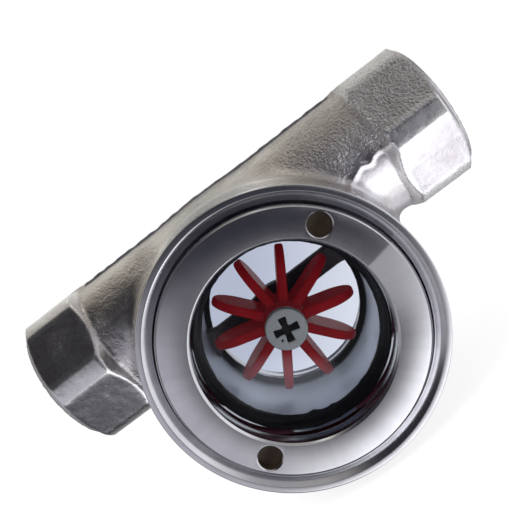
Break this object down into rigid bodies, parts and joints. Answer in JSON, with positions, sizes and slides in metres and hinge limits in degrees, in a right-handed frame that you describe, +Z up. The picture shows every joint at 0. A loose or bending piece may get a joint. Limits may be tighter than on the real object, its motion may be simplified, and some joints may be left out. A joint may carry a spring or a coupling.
{
  "type": "sight glass",
  "caption": "In-line sight flow indicator with female-threaded hexagonal pipe ends and a round double-window chamber in which a red impeller turns with the flow.",
  "frame": {"origin": "centre of the inlet port's face, on the pipe axis", "axes": "+X downstream along the pipe axis, -Y out of the front window, +Z up, away from the viewing chamber, which hangs below the pipe"},
  "size_m": [0.088, 0.0424, 0.0586],
  "materials": {
    "cast_steel": "as-cast stainless, bead-blasted satin, with machined and polished rims",
    "turned_steel": "fine face-turned stainless, satin to polished",
    "screw_steel": "matt stainless",
    "window_glass": "clear polished tempered glass",
    "black_rubber": "smooth black nitrile rubber, slightly shiny when pressed on the glass",
    "ptfe": "waxy white PTFE",
    "red_plastic": "glossy translucent red moulding",
    "bush_polymer": "dark filled bearing polymer, satin"
  },
  "bodies": {
    "housing": {"body": "cast_steel", "front_retaining_ring": "turned_steel", "rear_retaining_ring": "turned_steel", "front_pressure_ring": "turned_steel", "rear_pressure_ring": "turned_steel", "front_glass": "window_glass", "rear_glass": "window_glass", "front_gasket": "black_rubber", "rear_gasket": "black_rubber", "pivot_sleeve": "turned_steel", "pivot_screw": "screw_steel", "front_thrust_washer": "ptfe", "rear_thrust_washer": "ptfe"},
    "rotor": {"impeller": "red_plastic", "impeller_bush": "bush_polymer"}
  },
  "joints": [
    {"name": "impeller_spin", "type": "hinge", "parent": "housing", "child": "rotor", "pos_m": [0.0412, 0, -0.0163], "axis": [0, 1, 0], "continuous": true}
  ]
}
